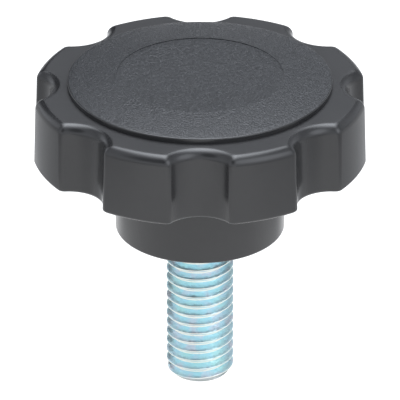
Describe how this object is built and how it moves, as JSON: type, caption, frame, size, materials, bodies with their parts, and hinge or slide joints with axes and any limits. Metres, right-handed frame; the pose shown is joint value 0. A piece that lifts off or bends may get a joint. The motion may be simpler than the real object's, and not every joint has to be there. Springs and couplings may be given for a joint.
{
  "type": "eight-arm knob",
  "caption": "Round hand knob with a scalloped grip rim, a raised grained disc, a short hub and a moulded-in threaded stud, for clamping or adjusting by hand.",
  "frame": {"origin": "on the knob's axis, in the plane of the hub's seat face", "axes": "+Z along the axis towards the domed top, the stud points to -Z, and a scallop faces -Y"},
  "size_m": [0.0484, 0.0484, 0.0489],
  "materials": {
    "black_plastic": "glossy moulded walls, fine matte grain on the raised disc",
    "zinc_plate": "clear blue zinc plating over a rolled thread"
  },
  "bodies": {
    "root": {"knob_body": "black_plastic", "threaded_stud": "zinc_plate"}
  },
  "joints": []
}
